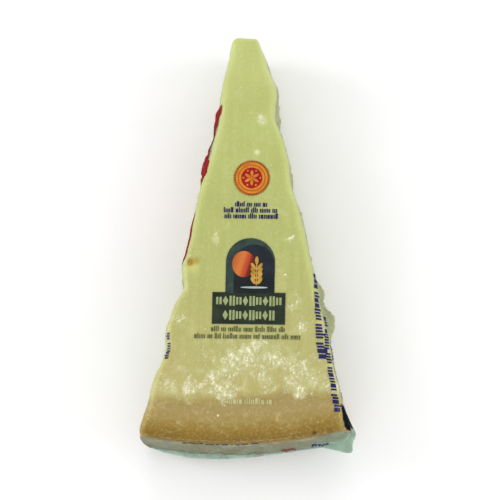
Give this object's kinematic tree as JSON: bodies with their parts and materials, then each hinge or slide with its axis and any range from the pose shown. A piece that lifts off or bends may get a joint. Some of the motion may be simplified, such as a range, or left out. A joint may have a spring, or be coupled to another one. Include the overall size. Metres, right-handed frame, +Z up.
{
  "type": "vacuum-packed wedge of hard cheese",
  "caption": "Long wedge of aged hard cheese with its rind, vacuum-packed in clear printed shrink film with a sealed edge at the rind.",
  "frame": {"origin": "middle of the whole pack's bounding box, at the height of its flat underside", "axes": "+Z up, from the flat back to the upper cut face; +Y along the wedge from the rind to the tip; +X across it, to the right as seen from above with the tip away"},
  "size_m": [0.1002, 0.2004, 0.0463],
  "materials": {
    "film": "clear glossy shrink film drawn tight over pale yellow hard cheese"
  },
  "bodies": {
    "root": {"vacuum_pack": "film"}
  },
  "joints": []
}
